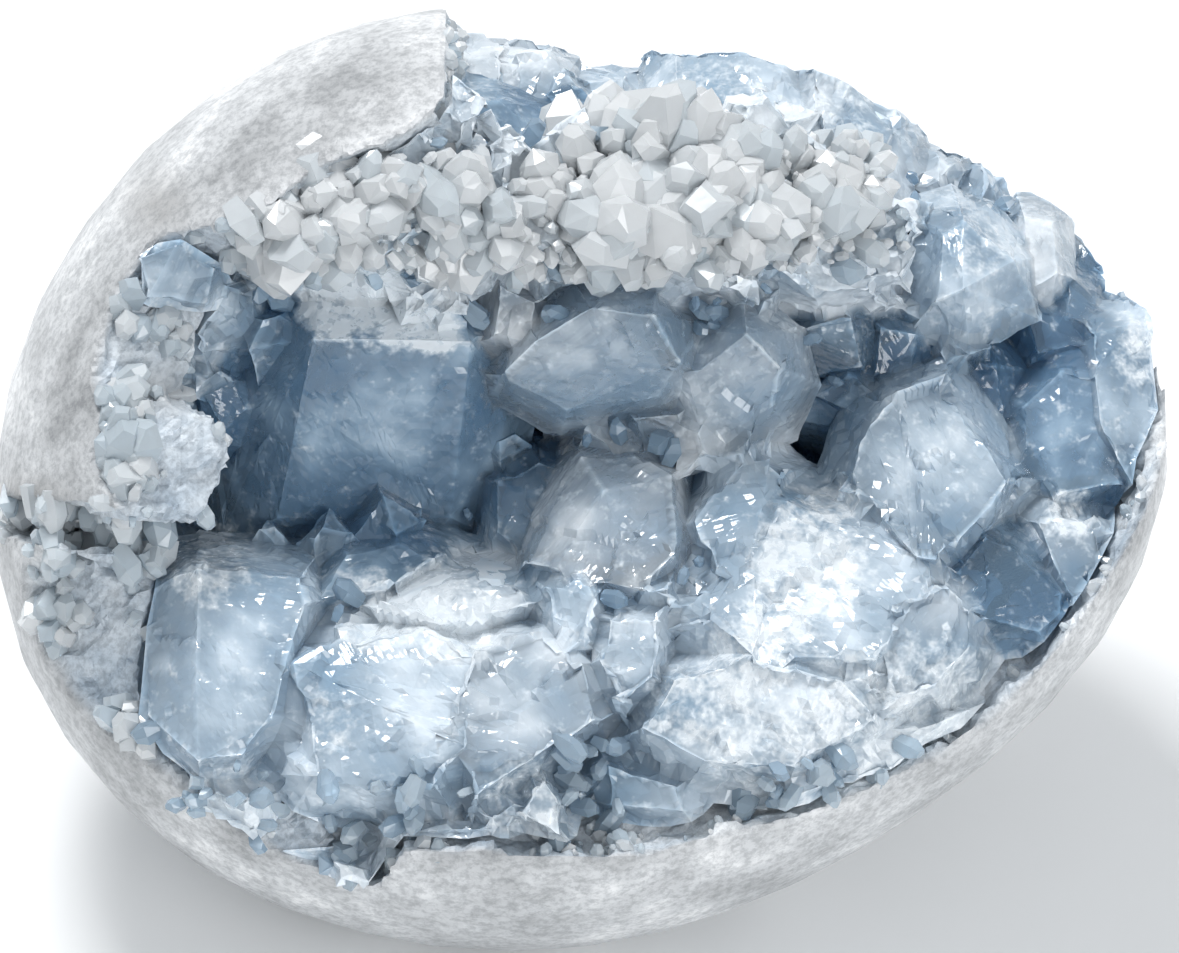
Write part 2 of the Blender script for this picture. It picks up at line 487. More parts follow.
def solid_tree(node_name):
    """Search tree of a CAD node's faces in the face frame, in mm."""
    made = merged_copy(node_name, "tree_copy")
    places = [TO_FACE @ corner.co for corner in made.data.vertices]
    tree = BVHTree.FromPolygons(places, [list(face.vertices) for face in made.data.polygons])
    bpy.data.objects.remove(made, do_unlink=True)
    return tree


def depth_in(tree, place):
    """How deep a place lies inside a closed surface, in mm, below 0 outside it."""
    near, normal, _, gap = tree.find_nearest(place)
    return gap if (place - near).dot(normal) < 0 else -gap


def pushed(made, rule):
    """Move each corner along its normal by rule(place in the face frame) mm."""
    corners = [(corner.co.copy(), corner.normal.copy()) for corner in made.data.vertices]
    moved = []
    for place, normal in corners:
        moved.extend(place + normal * MM * rule(TO_FACE @ place))
    made.data.vertices.foreach_set("co", moved)
    made.data.update()
    return made


def corner_values(made, name, values):
    """Give a piece's corners one number each under a name."""
    made.data.attributes.new(name, "FLOAT", "POINT")
    made.data.attributes[name].data.foreach_set("value", [float(value) for value in values])


def bends(made, rounds):
    """How hollow a surface is at each corner, in mm: above 0 in a groove, below 0 on an edge."""
    mesh = made.data
    places = np.empty(len(mesh.vertices) * 3)
    mesh.vertices.foreach_get("co", places)
    places = places.reshape(-1, 3) / MM
    normals = np.empty(len(mesh.vertices) * 3)
    mesh.vertex_normals.foreach_get("vector", normals)
    normals = normals.reshape(-1, 3)
    edges = np.empty(len(mesh.edges) * 2, dtype=np.int64)
    mesh.edges.foreach_get("vertices", edges)
    edges = edges.reshape(-1, 2)
    count = np.maximum(np.bincount(edges.ravel(), minlength=len(places)), 1)

    def near_mean(values):
        total = np.zeros_like(values)
        np.add.at(total, edges[:, 0], values[edges[:, 1]])
        np.add.at(total, edges[:, 1], values[edges[:, 0]])
        return total / (count[:, None] if values.ndim > 1 else count)

    bend = ((near_mean(places) - places) * normals).sum(axis=1)
    for _ in range(rounds):
        bend = 0.5 * bend + 0.5 * near_mean(bend)
    return bend


def grain_tilt(place, size, seed):
    """Height of a tilted flat grain at a place: grains of a size, each with its own slope."""
    spot = place / size + Vector((seed, -seed, seed))
    key = noise.voronoi(spot)[1][0]
    slope = noise.cell_vector(key * CELL_SPREAD) - Vector((0.5, 0.5, 0.5))
    return (spot - key).dot(slope)


def crystal_corners(girdle, front, root):
    """Corners of one placed crystal in the face frame, as in the solids, with a short root."""
    middle_u, middle_v, middle_w = (sum(values) / len(girdle) for values in zip(*girdle))
    share = FAR_SHARE if middle_w < FAR_DEPTH else 1.0
    rings = ((front, FRONT_SPREAD, 0.0), (girdle, GIRDLE_SPREAD, 0.0), (girdle, 0.0, ROOT_REACH))
    corners = []
    for ring, spread, deep in rings:
        for u, v, w in ring:
            away = Vector((u - middle_u, v - middle_v)).normalized() * spread * share
            corners.append(Vector((u + away.x, v + away.y, max(w - deep, root))))
    return corners


def hull(corners):
    """Closed convex body round some corners."""
    build = bmesh.new()
    for corner in corners:
        build.verts.new(corner)
    made = bmesh.ops.convex_hull(build, input=build.verts)
    inside = made["geom_interior"] + made["geom_unused"]
    spare = {item for item in inside if isinstance(item, bmesh.types.BMVert)}
    bmesh.ops.delete(build, geom=list(spare), context="VERTS")
    bmesh.ops.recalc_face_normals(build, faces=build.faces)
    return build


def chip(build, chooser, chips, depth):
    """Break small pieces off a convex crystal's corners, each leaving a flat face."""
    middle = sum((corner.co for corner in build.verts), Vector()) / len(build.verts)
    for _ in range(chips):
        corner = chooser.choice(list(build.verts)).co.copy()
        way = (corner - middle).normalized()
        way += Vector((chooser.gauss(0, 0.3), chooser.gauss(0, 0.3), chooser.gauss(0, 0.3)))
        way.normalize()
        reach = max(item.co.dot(way) for item in build.verts)
        place = way * (reach - chooser.uniform(0.25, 1.0) * depth)
        geometry = list(build.verts) + list(build.edges) + list(build.faces)
        cut = bmesh.ops.bisect_plane(build, geom=geometry, plane_co=place, plane_no=way, clear_outer=True)
        rim = [item for item in cut["geom_cut"] if isinstance(item, bmesh.types.BMEdge)]
        if rim:
            bmesh.ops.contextual_create(build, geom=rim)
    bmesh.ops.remove_doubles(build, verts=build.verts, dist=CHIP_GAP)
    bmesh.ops.recalc_face_normals(build, faces=build.faces)


def owners(places):
    """Index of the placed crystal whose surface each place in the face frame lies nearest to."""
    best = np.full(len(places), 1e9)
    owner = np.zeros(len(places), dtype=np.int64)
    for index, (_, _, girdle, front, root) in enumerate(CRYSTALS):
        build = hull(crystal_corners(girdle, front, root))
        normals = np.array([face.normal for face in build.faces])
        levels = np.array([face.normal.dot(face.verts[0].co) for face in build.faces])
        build.free()
        off = np.abs((places @ normals.T - levels).max(axis=1))
        closer = off < best
        best[closer] = off[closer]
        owner[closer] = index
    return owner


def triangulated(build):
    """Cut faces with more than three corners into triangles."""
    bmesh.ops.triangulate(build, faces=[face for face in build.faces if len(face.verts) > 3])


def crystal_skin(wall):
    """The crystals' outside: the solids' own faces, divided finely and given shallow growth steps."""
    made = merged_copy("celestite_crystals", "celestite_faces")
    build = bmesh.new()
    build.from_mesh(made.data)
    for _ in range(HALVINGS):
        long = []
        for edge in build.edges:
            if edge.calc_length() > SKIN_GRAIN * MM:
                middle = TO_FACE @ ((edge.verts[0].co + edge.verts[1].co) / 2.0)
                if wall.find_nearest(middle)[3] > HIDDEN_GAP:
                    long.append(edge)
        if not long:
            break
        bmesh.ops.subdivide_edges(build, edges=long, cuts=1)
        triangulated(build)
    # slivers left by the cuts are closed up, so that every edge has two faces
    bmesh.ops.dissolve_degenerate(build, edges=build.edges, dist=SLIVER * MM)
    triangulated(build)
    build.to_mesh(made.data)
    build.free()

    chooser = random.Random(SEED)
    looks = []
    for _, kind, *_ in CRYSTALS:
        clear, frost, blue = KINDS[kind]
        axis = Vector((chooser.gauss(0, 1), chooser.gauss(0, 1), chooser.gauss(0, 0.5))).normalized()
        looks.append((clear + chooser.uniform(-0.1, 0.1), frost + chooser.uniform(-0.08, 0.08),
                      blue + chooser.uniform(-0.1, 0.1), axis))
    places = [TO_FACE @ corner.co for corner in made.data.vertices]
    owner = owners(np.array(places))
    edge_wear = np.clip(-4.0 * bends(made, 0) - 0.15, 0.0, 1.0)
    clearness, frosts, blueness, growth = [], [], [], []
    for place, index, wear in zip(places, owner, edge_wear):
        clear, frost, blue, axis = looks[index]
        veil = noise.fractal(place / 9.0, 0.8, 2.0, 4)
        for u, v, radius, strength in FROST_PATCHES:
            gap = math.hypot(place.x - u, place.y - v) / radius
            if gap < PATCH_EDGE:
                frost = max(frost, 0.8 * strength * min(1.0, (PATCH_EDGE - gap) * 1.6))
        clearness.append(min(0.97, max(0.05, clear - 0.45 * max(0.0, veil) - 0.5 * wear)))
        frosts.append(min(1.0, max(0.0, frost + 0.2 * veil + 0.35 * wear)))
        blueness.append(min(1.0, max(0.0, blue - 0.3 * veil)))
        growth.extend(axis)

    depth = iter([BROKEN[CRYSTALS[index][1]] for index in owner])

    def steps(place):
        deep = next(depth)
        if wall.find_nearest(place)[3] < HIDDEN_GAP:
            return 0.0
        flats = grain_tilt(place, BIG_FLAT, 4.0) + 0.45 * grain_tilt(place, SMALL_FLAT, 8.0)
        level = 3.0 * noise.noise(place / STEP_SPAN)
        step = STEP_HEIGHT * (math.floor(level * 3.0) / 3.0 - level)
        return min(0.0, deep * (flats - 0.35)) + step - SKIN_SINK

    pushed(made, steps)
    corner_values(made, "clearness", clearness)
    corner_values(made, "frost", frosts)
    corner_values(made, "blueness", blueness)
    made.data.attributes.new("growth", "FLOAT_VECTOR", "POINT")
    made.data.attributes["growth"].data.foreach_set("vector", growth)
    return made


def crystal_cores(crust):
    """Milky cores inside the crystals, with flats parallel to the outer faces."""
    chooser = random.Random(SEED + 1)
    whole = bmesh.new()
    blueness = []
    for name, kind, girdle, front, root in CRYSTALS:
        corners = crystal_corners(girdle, front, root)
        middle = sum(corners, Vector()) / len(corners)
        if depth_in(crust, middle) < CORE_ROOM:
            continue
        inner = []
        for corner in corners:
            share = CORE_SHARE + chooser.uniform(-0.08, 0.08)
            while share > 0.2:
                if depth_in(crust, middle + share * (corner - middle)) > CORE_COVER:
                    break
                share -= 0.06
            inner.append(middle + share * (corner - middle))
        build = hull(inner)
        chip(build, chooser, CORE_CHIPS, CHIP_DEPTH)
        block = bpy.data.meshes.new(name)
        build.to_mesh(block)
        build.free()
        blueness.extend([KINDS[kind][2] + chooser.uniform(-0.08, 0.08)] * len(block.vertices))
        whole.from_mesh(block)
        bpy.data.meshes.remove(block)
    bmesh.ops.transform(whole, matrix=FACE, verts=whole.verts)
    made = object_from("celestite_cores", whole)
    corner_values(made, "blueness", blueness)
    return made


def druse_shapes(count):
    """Small blunt crystals, each a closed hull of 12 to 18 corners, rooted below the origin."""
    chooser = random.Random(SEED + 2)
    group = bpy.data.collections.new("druse_shapes")
    for index in range(count):
        corners = []
        sides = chooser.choice((4, 5, 6))
        turn = chooser.uniform(0, math.tau)
        slant = Vector((chooser.uniform(-0.2, 0.2), chooser.uniform(-0.2, 0.2), 0.0))
        for level, width in ((-0.5, 0.40), (0.35, 0.52), (0.8, 0.27)):
            for side in range(sides):
                angle = turn + math.tau * side / sides + chooser.uniform(-0.2, 0.2)
                flat = 1.0 if side % 2 else 0.8
                corners.append(Vector((width * flat * math.cos(angle), width * math.sin(angle), level))
                               + slant * (level + 0.5) + Vector((0, 0, chooser.uniform(-0.07, 0.07))))
        shape = object_from(f"druse_shape_{index}", hull(corners))
        bpy.context.scene.collection.objects.unlink(shape)
        group.objects.link(shape)
    return group


def grown(guide, name, shapes, spacing, size, coat):
    """Small crystals scattered over a guide surface where its 'growth_share' allows, as one mesh.

    spacing is the least distance between two and size their height range, all in mm.
    """
    tree = bpy.data.node_groups.new(name, "GeometryNodeTree")
    for title, kind in (("Surface", "Geometry"), ("Crystals", "Collection"), ("Spacing", "Float"),
                        ("Smallest", "Float"), ("Largest", "Float"), ("Coat", "Material")):
        tree.interface.new_socket(title, in_out="INPUT", socket_type=f"NodeSocket{kind}")
    tree.interface.new_socket("Druse", in_out="OUTPUT", socket_type="NodeSocketGeometry")
    given = node(tree, "NodeGroupInput").outputs
    share = node(tree, "GeometryNodeInputNamedAttribute", {"data_type": "FLOAT"}, {"Name": "growth_share"})
    points = node(tree, "GeometryNodeDistributePointsOnFaces", {"distribute_method": "POISSON"}, {
        "Mesh": given["Surface"], "Distance Min": given["Spacing"], "Density Max": 4.0e6,
        "Density Factor": share.outputs[0], "Seed": SEED})
    lean = node(tree, "FunctionNodeRandomValue", {"data_type": "FLOAT_VECTOR"},
                {0: (-0.6, -0.6, -0.6), 1: (0.6, 0.6, 0.6), "Seed": 1})
    way = node(tree, "ShaderNodeVectorMath", {"operation": "ADD"}, {
        0: points.outputs["Normal"], 1: lean.outputs[0]})
    stand = node(tree, "FunctionNodeAlignRotationToVector", {"axis": "Z"}, {"Vector": way.outputs[0]})
    spin = node(tree, "FunctionNodeRandomValue", {"data_type": "FLOAT"}, {2: 0.0, 3: math.tau, "Seed": 2})
    about = node(tree, "FunctionNodeAxisAngleToRotation", inputs={
        "Axis": (0.0, 0.0, 1.0), "Angle": spin.outputs[1]})
    turned = node(tree, "FunctionNodeRotateRotation", {"rotation_space": "LOCAL"},
                  {"Rotation": stand.outputs[0], "Rotate By": about.outputs[0]})
    tall = node(tree, "FunctionNodeRandomValue", {"data_type": "FLOAT"},
                {2: given["Smallest"], 3: given["Largest"], "Seed": 3})
    grain = node(tree, "GeometryNodeInputNamedAttribute", {"data_type": "FLOAT"}, {"Name": "growth_size"})
    sized = node(tree, "ShaderNodeMath", {"operation": "MULTIPLY"}, {0: tall.outputs[1], 1: grain.outputs[0]})
    kinds = node(tree, "GeometryNodeCollectionInfo", inputs={
        "Collection": given["Crystals"], "Separate Children": True, "Reset Children": True})
    placed = node(tree, "GeometryNodeInstanceOnPoints", inputs={
        "Points": points.outputs["Points"], "Instance": kinds.outputs[0], "Pick Instance": True,
        "Rotation": turned.outputs[0], "Scale": sized.outputs[0]})
    tone = node(tree, "FunctionNodeRandomValue", {"data_type": "FLOAT"}, {2: 0.0, 3: 1.0, "Seed": 4})
    marked = node(tree, "GeometryNodeStoreNamedAttribute", {"data_type": "FLOAT", "domain": "INSTANCE"},
                  {"Geometry": placed.outputs[0], "Name": "tone", "Value": tone.outputs[1]})
    plain = node(tree, "GeometryNodeRealizeInstances", inputs={"Geometry": marked.outputs[0]})
    coated = node(tree, "GeometryNodeSetMaterial", inputs={
        "Geometry": plain.outputs[0], "Material": given["Coat"]})
    node(tree, "NodeGroupOutput", inputs={0: coated.outputs[0]})

    made = guide.copy()
    made.data = guide.data.copy()
    made.name = name
    bpy.context.scene.collection.objects.link(made)
    modifier = made.modifiers.new("druse", "NODES")
    modifier.node_group = tree
    values = {"Crystals": shapes, "Spacing": spacing * MM, "Smallest": size[0] * MM,
              "Largest": size[1] * MM, "Coat": coat}
    for item in tree.interface.items_tree:
        if item.name in values and item.in_out == "INPUT":
            modifier[item.identifier] = values[item.name]
    return finished(made)


def rise(low, high, value):
    """0 below low, 1 above high, straight between."""
    return min(1.0, max(0.0, (value - low) / (high - low)))


def skin_cover(place):
    """1 where a place is on the ground outer skin, 0 on the break and in the hollow."""
    return rise(*GROUND_SKIN, skin_share(place))


def fitted_shell():
    """The rock wall: smooth with fine pits outside, sugary broken grains on the break."""
    def relief(place):
        outer = skin_cover(place)
        if (FACE @ place).z < FLAT_TOP * MM:
            return 0.0
        broken = 2.4 * grain_tilt(place, BIG_FLAT, 5.0) + 1.2 * grain_tilt(place, SMALL_FLAT, 1.0)
        broken += 0.6 * grain_tilt(place, FINE_FLAT, 2.0) - 0.3
        worn = 0.10 * noise.noise(place / 6.0) + 0.05 * noise.noise(place / 1.7) - 0.12
        return broken * (1.0 - outer) + worn * outer

    made = pushed(remeshed(merged_copy("geode_shell", "geode_rind"), ROCK_GRAIN), relief)
    places = [TO_FACE @ corner.co for corner in made.data.vertices]
    corner_values(made, "skin", [skin_cover(place) for place in places])
    corner_values(made, "stain", [
        max(strength * rise(radius, 0.0, math.hypot(place.x - u, (place.y - v) * squash))
            for u, v, radius, strength, squash in STAINS)
        for place in places])
    return made


def druse_guide():
    """Guide for the small crystals on the crust, with where they grow and how big."""
    made = remeshed(merged_copy("celestite_crystals", "druse_guide"), GUIDE_GRAIN)
    share = []
    size = []
    white = []
    for corner, bend in zip(made.data.vertices, bends(made, 3)):
        place = TO_FACE @ corner.co
        ragged = 2.2 * noise.noise(place / 5.0)
        ridge = rise(0.0, 1.5, place.y - RIDGE_FOOT - ragged)
        ridge *= rise(0.0, 2.0, RIDGE_TOP + 2.0 * ragged - place.y)
        ridge *= rise(*RIDGE_LEFT, place.x + 2.0 * ragged) * rise(*RIDGE_RIGHT, place.x + ragged)
        ridge *= rise(*RIDGE_BACK, place.z)
        recess = rise(*RECESS_LEFT, place.x) * rise(*RECESS_RIGHT, place.x) * rise(*RECESS_FOOT, place.y)
        ridge *= 1.0 - recess
        groove = rise(0.06, 0.14, bend) * rise(-0.1, 0.25, noise.noise(place / 8.0 + Vector((5, 0, 0))))
        low_rim = rise(-24.0, -31.0, place.y) * rise(-0.1, 0.3, noise.noise(place / 5.0))
        over_floor = (FACE @ place).z >= DRUSE_FLOOR * MM
        share.append(max(ridge, 0.9 * groove, 0.5 * low_rim) if over_floor else 0.0)
        uneven = noise.noise(place / 5.0)
        size.append(1.0 + 1.2 * uneven if ridge > 0.3 else 0.5 + 0.25 * uneven)
        white.append(max(rise(0.0, 0.4, ridge), 0.45 * rise(-20.0, -30.0, place.y)))
    corner_values(made, "whiteness", white)
    corner_values(made, "growth_share", share)
    corner_values(made, "growth_size", size)
    return made


def rim_guide(rind, crust):
    """Guide for the sugary grains on the broken edge of the wall, where no crust covers it."""
    made = rind.copy()
    made.data = rind.data.copy()
    share = []
    size = []
    for corner, bend in zip(made.data.vertices, bends(rind, 2)):
        place = TO_FACE @ corner.co
        open_face = 1.0 - skin_cover(place)
        left = rise(*LEFT_WALL, place.x) * rise(*LEFT_WALL_FOOT, place.y)
        sharp = rise(0.03, 0.10, -bend) * left * rise(0.998, 0.984, skin_share(place))
        patchy = rise(-0.25, 0.2, noise.noise(place / 6.0))
        clear_of_base = rise(*RIM_FLOOR, corner.co.z / MM)
        bare = clear_of_base * rise(1.0, 1.6, crust.find_nearest(place)[3])
        share.append(bare * max(0.8 * open_face * patchy, 0.7 * sharp * patchy))
        size.append((0.5 + 0.55 * left) * (1.0 + 0.9 * noise.noise(place / 6.0)))
    corner_values(made, "whiteness", [0.82] * len(share))
    corner_values(made, "growth_share", share)
    corner_values(made, "growth_size", size)
    return made


def linear(hex_value):
    """sRGB hex colour as linear RGBA."""
    values = []
    for start in (0, 2, 4):
        value = int(hex_value[start:start + 2], 16) / 255.0
        values.append(value / 12.92 if value <= 0.04045 else ((value + 0.055) / 1.055) ** 2.4)
    return (*values, 1.0)


def node(tree, kind, settings=None, inputs=None, steps=()):
    """Add a node, set its settings, give each input a value or a link, and fill a ramp's steps."""
    made = tree.nodes.new(kind)
    for key, value in (settings or {}).items():
        setattr(made, key, value)
    for key, value in (inputs or {}).items():
        if isinstance(value, bpy.types.NodeSocket):
            tree.links.new(value, made.inputs[key])
        else:
            made.inputs[key].default_value = value
    for _ in steps[2:]:
        made.color_ramp.elements.new(0.5)
    for element, (place, value) in zip(made.color_ramp.elements if steps else (), steps):
        element.position = place
        element.color = linear(value)
    return made


def per_mm(size):
    """Texture scale for a feature of a size in mm, on coordinates in metres."""
    return 1.0 / (size * MM)


def new_material(name):
    """New material and its empty node tree."""
    made = bpy.data.materials.new(name)
    made.use_nodes = True
    made.node_tree.nodes.clear()
    return made, made.node_tree


def celestite_grown():
    """Celestite, grown faces: glassy with fine growth lines, blue in depth, frosted where etched."""
    made, tree = new_material("celestite_grown_faces")
    place = node(tree, "ShaderNodeTexCoord").outputs["Object"]
    clearness, frost, blueness = [
        node(tree, "ShaderNodeAttribute", {"attribute_name": name}).outputs["Fac"]
        for name in ("clearness", "frost", "blueness")]
    growth = node(tree, "ShaderNodeAttribute", {"attribute_name": "growth"}).outputs["Vector"]

    # sugary noise breaks up the frost
    sugar = node(tree, "ShaderNodeTexNoise", inputs={
        "Vector": place, "Scale": per_mm(1.6), "Detail": 2.5, "Roughness": 0.75}).outputs["Fac"]
    uneven = node(tree, "ShaderNodeMath", {"operation": "MULTIPLY_ADD"}, {0: sugar, 1: 2.4, 2: frost})
    frosted = node(tree, "ShaderNodeMapRange", {"interpolation_type": "SMOOTHSTEP"}, {
        "Value": uneven.outputs[0], "From Min": 1.3, "From Max": 2.2}).outputs[0]
    blue = node(tree, "ShaderNodeValToRGB", inputs={"Fac": blueness}, steps=(
        (0.0, "EEF4F9"), (0.35, "CCDDEB"), (0.7, "A3C1D9"), (1.0, "7EA4C4")))
    colour = node(tree, "ShaderNodeMix", {"data_type": "RGBA"}, {
        "Factor": frosted, 6: blue.outputs[0], 7: linear("E9F0F5")}).outputs[2]
    opaque = node(tree, "ShaderNodeMath", {"operation": "MULTIPLY_ADD"}, {0: frosted, 1: -0.75, 2: 1.0})
    clear = node(tree, "ShaderNodeMath", {"operation": "MULTIPLY"}, {0: opaque.outputs[0], 1: clearness})
    rough = node(tree, "ShaderNodeMath", {"operation": "MULTIPLY_ADD"}, {0: frosted, 1: 0.25, 2: 0.05})

    # growth lines run along one direction in each crystal, grains show where it is frosted
    along = node(tree, "ShaderNodeVectorMath", {"operation": "DOT_PRODUCT"}, {0: place, 1: growth})
    lines = node(tree, "ShaderNodeTexNoise", {"noise_dimensions": "1D"}, {
        "W": along.outputs["Value"], "Scale": per_mm(0.8), "Detail": 1.0, "Roughness": 0.75}).outputs["Fac"]
    grains = node(tree, "ShaderNodeTexVoronoi", inputs={
        "Vector": place, "Scale": per_mm(0.55)}).outputs["Color"]
    flats = node(tree, "ShaderNodeVectorMath", {"operation": "DOT_PRODUCT"}, {0: grains, 1: (0.5, 0.5, 0.5)})
    glitter = node(tree, "ShaderNodeMath", {"operation": "MULTIPLY"}, {0: flats.outputs["Value"], 1: frost})
    height = node(tree, "ShaderNodeMath", {"operation": "MULTIPLY_ADD"}, {
        0: lines, 1: 0.35, 2: glitter.outputs[0]})
    bump = node(tree, "ShaderNodeBump", inputs={
        "Strength": 0.6, "Distance": 0.3 * MM, "Height": height.outputs[0]})

    shader = node(tree, "ShaderNodeBsdfPrincipled", inputs={
        "Base Color": colour, "Roughness": rough.outputs[0], "Transmission Weight": clear.outputs[0],
        "IOR": CELESTITE_IOR, "Normal": bump.outputs[0]})
    depth = node(tree, "ShaderNodeVolumeAbsorption", inputs={"Color": linear("9CC6E6"), "Density": 30.0})
    node(tree, "ShaderNodeOutputMaterial", inputs={"Surface": shader.outputs[0], "Volume": depth.outputs[0]})
    return made


def celestite_core():
    """Celestite, cloudy cores: dense milk-white to blue, with fractures that catch the light."""
    made, tree = new_material("celestite_milky_cores")
    place = node(tree, "ShaderNodeTexCoord").outputs["Object"]
    blueness = node(tree, "ShaderNodeAttribute", {"attribute_name": "blueness"}).outputs["Fac"]
    cloud = node(tree, "ShaderNodeTexNoise", inputs={
        "Vector": place, "Scale": per_mm(8), "Detail": 3.0, "Roughness": 0.7}).outputs["Fac"]
    thin = node(tree, "ShaderNodeMath", {"operation": "MULTIPLY_ADD"}, {0: cloud, 1: -1.4, 2: 0.75})
    mixed = node(tree, "ShaderNodeMath", {"operation": "ADD"}, {0: thin.outputs[0], 1: blueness})
    colour = node(tree, "ShaderNodeValToRGB", inputs={"Fac": mixed.outputs[0]}, steps=(
        (0.0, "F6FAFD"), (0.35, "E2EDF5"), (0.7, "C3D9E9"), (1.0, "9DBFD8")))
    shader = node(tree, "ShaderNodeBsdfPrincipled", inputs={
        "Base Color": colour.outputs[0], "Roughness": 0.3})
    node(tree, "ShaderNodeOutputMaterial", inputs={"Surface": shader.outputs[0]})
    return made


def celestite_druse():
    """Celestite, small late crystals: sugar-white and glassy, each a little clearer or milkier."""
    made, tree = new_material("celestite_druse")
    place = node(tree, "ShaderNodeTexCoord").outputs["Object"]
    tone, whiteness = [
        node(tree, "ShaderNodeAttribute", {"attribute_name": name}).outputs["Fac"]
        for name in ("tone", "whiteness")]
    milk = node(tree, "ShaderNodeMath", {"operation": "MULTIPLY_ADD"}, {0: tone, 1: 0.4, 2: -0.2})
    milky = node(tree, "ShaderNodeMath", {"operation": "ADD", "use_clamp": True}, {
        0: milk.outputs[0], 1: whiteness})
    colour = node(tree, "ShaderNodeValToRGB", inputs={"Fac": milky.outputs[0]}, steps=(
        (0.0, "A9C5DB"), (0.45, "C9DCEA"), (0.75, "E4EFF6"), (1.0, "F8FBFD")))
    clear = node(tree, "ShaderNodeMapRange", inputs={
        "Value": milky.outputs[0], "To Min": 0.6, "To Max": 0.42})
    cloud = node(tree, "ShaderNodeTexNoise", inputs={"Vector": place, "Scale": per_mm(0.9), "Detail": 1.0})
    rough = node(tree, "ShaderNodeMapRange", inputs={
        "Value": cloud.outputs["Fac"], "To Min": 0.06, "To Max": 0.3})
    flats = node(tree, "ShaderNodeTexVoronoi", inputs={
        "Vector": place, "Scale": per_mm(1.1)}).outputs["Color"]
    bump = node(tree, "ShaderNodeBump", inputs={"Strength": 0.35, "Distance": 0.3 * MM, "Height": flats})
    shader = node(tree, "ShaderNodeBsdfPrincipled", inputs={
        "Base Color": colour.outputs[0], "Roughness": rough.outputs[0],
        "Transmission Weight": clear.outputs[0], "IOR": CELESTITE_IOR, "Normal": bump.outputs[0]})
    node(tree, "ShaderNodeOutputMaterial", inputs={"Surface": shader.outputs[0]})
    return made


def matrix_rock():
    """Celestite-rich limestone, ground and tumbled outside: grey-white, sugary where broken."""
    made, tree = new_material("ground_matrix_rock")
    place = node(tree, "ShaderNodeTexCoord").outputs["Object"]
    skin, stain = [
        node(tree, "ShaderNodeAttribute", {"attribute_name": name}).outputs["Fac"]
        for name in ("skin", "stain")]
    broad = node(tree, "ShaderNodeTexNoise", inputs={
        "Vector": place, "Scale": per_mm(16), "Detail": 4.0, "Roughness": 0.7}).outputs["Fac"]
    speck = node(tree, "ShaderNodeTexNoise", inputs={
        "Vector": place, "Scale": per_mm(0.9), "Detail": 3.0, "Roughness": 0.75}).outputs["Fac"]
    worn = node(tree, "ShaderNodeValToRGB", inputs={"Fac": broad}, steps=(
        (0.36, "A8AAAC"), (0.46, "C2C4C6"), (0.55, "D2D4D6"), (0.64, "EEEFF0")))
    fresh = node(tree, "ShaderNodeValToRGB", inputs={"Fac": broad}, steps=(
        (0.34, "AFBCC8"), (0.5, "D2DAE1"), (0.66, "F3F6F8")))
    stone = node(tree, "ShaderNodeMix", {"data_type": "RGBA"}, {
        "Factor": skin, 6: fresh.outputs[0], 7: worn.outputs[0]})
    fine = node(tree, "ShaderNodeValToRGB", inputs={"Fac": speck}, steps=((0.38, "D9DADB"), (0.58, "FFFFFF")))
    speckled = node(tree, "ShaderNodeMix", {"data_type": "RGBA", "blend_type": "MULTIPLY"}, {
        "Factor": 1.0, 6: stone.outputs[2], 7: fine.outputs[0]})
    blotch = node(tree, "ShaderNodeMath", {"operation": "MULTIPLY"}, {0: stain, 1: speck})
    colour = node(tree, "ShaderNodeMix", {"data_type": "RGBA"}, {
        "Factor": blotch.outputs[0], 6: speckled.outputs[2], 7: linear("5F5446")})
    grains = node(tree, "ShaderNodeTexVoronoi", inputs={
        "Vector": place, "Scale": per_mm(0.7)}).outputs["Color"]
    flats = node(tree, "ShaderNodeVectorMath", {"operation": "DOT_PRODUCT"}, {0: grains, 1: (0.5, 0.5, 0.5)})
    height = node(tree, "ShaderNodeMath", {"operation": "MULTIPLY_ADD"}, {
        0: speck, 1: 0.6, 2: flats.outputs["Value"]})
    bump = node(tree, "ShaderNodeBump", inputs={
        "Strength": 0.5, "Distance": 0.35 * MM, "Height": height.outputs[0]})
    shader = node(tree, "ShaderNodeBsdfPrincipled", inputs={
        "Base Color": colour.outputs[2], "Roughness": 0.42, "Normal": bump.outputs[0]})
    node(tree, "ShaderNodeOutputMaterial", inputs={"Surface": shader.outputs[0]})
    return made


def put_on(made, coat, node_name):
    """Give a piece its material, its body and the CAD node that it replaces."""
    if coat:
        made.data.materials.clear()
        made.data.materials.append(coat)
    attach(made, "root")
    if node_name:
        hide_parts(node_name)


PHOTO_WIDTH = 1179
PHOTO_HEIGHT = 953
PIXELS_PER_MM = 10.0
FACE_CENTRE_PIXEL = (590.0, 476.0)
CAMERA_DISTANCE = 1.5

# soft boxes: name, place in metres, width in metres, watts
SOFT_BOXES = (
    ("key_overhead", (-0.2, 0.35, 0.85), 0.3, 6.6),
    ("fill_front_right", (0.5, -0.8, 0.5), 0.5, 4.0),
)
LIGHT_AIM = Vector((0.0, 0.0, 0.04))
SKY_STRENGTH = 0.58
FLOOR_HALF_WIDTH = 3.0


